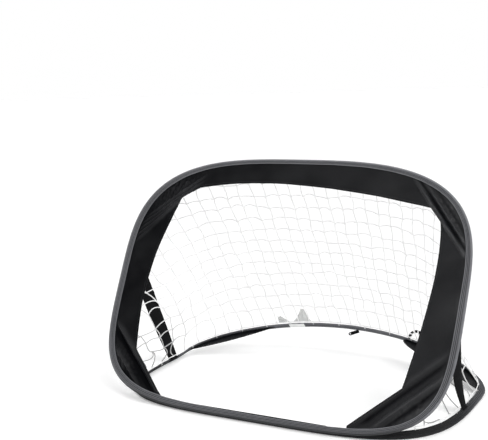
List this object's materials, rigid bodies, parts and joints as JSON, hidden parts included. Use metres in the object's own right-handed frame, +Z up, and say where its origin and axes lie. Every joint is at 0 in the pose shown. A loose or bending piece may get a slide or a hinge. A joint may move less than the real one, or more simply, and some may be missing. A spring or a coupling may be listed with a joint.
{
  "type": "pop up goal",
  "caption": "Pop-up lawn goal: spring-wire rings in fabric sleeves hinged along their front rails, a dark fabric border round the leaning mouth and a white cord net behind it.",
  "frame": {"origin": "on the floor, at the middle of the goal's footprint", "axes": "+X to the right seen from the front, +Y from the mouth into the goal, +Z up"},
  "size_m": [1.2262, 0.7426, 0.7671],
  "materials": {
    "spring_steel": "bare tempered spring wire",
    "crimped_steel": "bright crimped tube",
    "grey_binding": "ribbed polyester binding tape, matt",
    "dark_binding": "ribbed polyester binding tape, matt",
    "black_polyester": "thin woven polyester with a soft sheen",
    "black_webbing": "woven webbing, matt",
    "white_cord": "soft braided cord",
    "clear_label": "milky clear film",
    "black_metal": "black enamel, satin"
  },
  "bodies": {
    "base": {"base_ring_wire": "spring_steel", "base_ring_sleeve": "dark_binding", "base_ring_ferrule": "crimped_steel", "front_seam_tape": "black_webbing", "net_right": "white_cord", "net_back": "white_cord", "net_left": "white_cord", "net_hem_cord": "white_cord", "strap_right": "black_webbing", "strap_left": "black_webbing", "strap_right_foot": "black_webbing", "strap_left_foot": "black_webbing", "gusset_right": "black_polyester", "gusset_left": "black_polyester", "care_label_wrap": "clear_label", "storage_band": "black_webbing"},
    "front_ring": {"front_ring_wire": "spring_steel", "front_ring_sleeve": "grey_binding", "front_ring_ferrule": "crimped_steel", "border_top": "black_polyester", "border_left": "black_polyester", "border_right": "black_polyester", "border_corner_top_right": "black_polyester", "border_corner_top_left": "black_polyester", "border_corner_bottom_left": "black_polyester", "border_corner_bottom_right": "black_polyester", "net_head_cord": "white_cord", "strap_right_ring_patch": "black_webbing", "strap_left_ring_patch": "black_webbing"},
    "peg_tab": {"peg_loop": "black_webbing", "peg_loop_eyelet": "black_metal"},
    "tall_flap": {"care_label_tall_flap": "clear_label"},
    "short_flap": {"care_label_short_flap": "clear_label"}
  },
  "joints": [
    {"name": "front_ring_fold", "type": "hinge", "parent": "base", "child": "front_ring", "pos_m": [0, -0.3672, 0.0125], "axis": [1, 0, 0], "range_deg": [-48, 0], "stiffness_Nm_per_rad": 2.5, "springref_deg": 45.84, "deforming": ["net_right", "net_back", "net_left", "strap_right", "strap_left", "front_seam_tape"]},
    {"name": "peg_loop_flex", "type": "hinge", "parent": "base", "child": "peg_tab", "pos_m": [0.05182, 0.35486, 0.10402], "axis": [0.999, -0.0362, -0.0262], "range_deg": [-15, 60], "stiffness_Nm_per_rad": 0.004},
    {"name": "tall_flap_flex", "type": "hinge", "parent": "base", "child": "tall_flap", "pos_m": [-0.17911, 0.34687, 0.11753], "axis": [0.9875, 0.1293, 0.0899], "range_deg": [-60, 50], "stiffness_Nm_per_rad": 0.003},
    {"name": "short_flap_flex", "type": "hinge", "parent": "base", "child": "short_flap", "pos_m": [-0.23831, 0.33765, 0.11119], "axis": [0.9769, 0.1775, 0.1193], "range_deg": [-60, 50], "stiffness_Nm_per_rad": 0.002}
  ]
}
